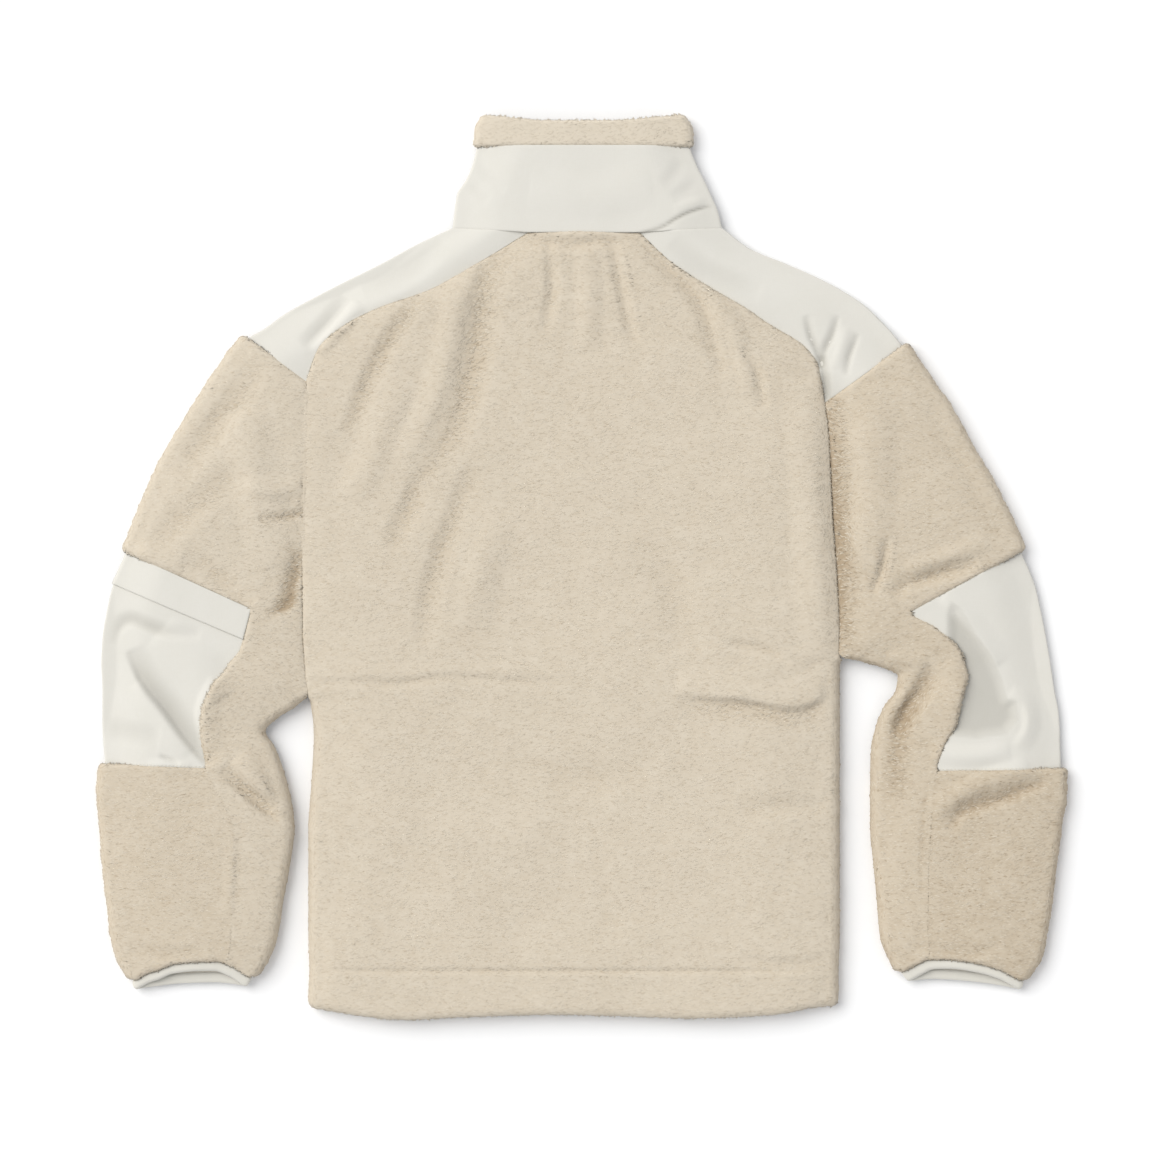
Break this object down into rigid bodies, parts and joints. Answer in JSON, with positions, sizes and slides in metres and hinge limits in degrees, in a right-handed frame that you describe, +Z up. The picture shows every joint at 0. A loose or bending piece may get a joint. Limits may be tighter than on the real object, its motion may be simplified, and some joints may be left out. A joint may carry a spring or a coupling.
{
  "type": "sherpa fleece pullover",
  "caption": "Sherpa fleece pullover lying flat, back up, with woven saddle yokes, elbow panels, stand collar and cuff bindings.",
  "frame": {"origin": "on the surface it lies on, under the middle of its footprint", "axes": "+X across the chest towards the right sleeve of the picture, +Y from hem to collar, +Z up, out of the back panel"},
  "size_m": [0.875, 0.8098, 0.0244],
  "materials": {
    "sherpa": "cream high-pile sherpa fleece",
    "shell": "smooth off-white woven shell cloth",
    "binding": "off-white elastic binding tape",
    "zip_coil": "off-white coil and tape",
    "zip_metal": "satin"
  },
  "bodies": {
    "garment": {"back_body": "sherpa", "front_body": "sherpa", "collar": "shell", "collar_band": "sherpa", "yoke_left": "shell", "yoke_right": "shell", "sleeve_cap_left": "sherpa", "sleeve_cap_right": "sherpa", "elbow_panel_left": "shell", "elbow_panel_right": "shell", "pocket_band": "shell", "forearm_left": "sherpa", "forearm_right": "sherpa", "under_sleeve_left": "sherpa", "under_sleeve_right": "sherpa", "cuff_binding_left": "binding", "cuff_binding_right": "binding", "zip_coil": "zip_coil", "zip_slider": "zip_metal"},
    "pull": {"zip_pull": "zip_metal"}
  },
  "joints": [
    {"name": "pull_swing", "type": "hinge", "parent": "garment", "child": "pull", "pos_m": [0, 0.32799, 0.00255], "axis": [1, 0, 0], "range_deg": [0, 170]}
  ]
}
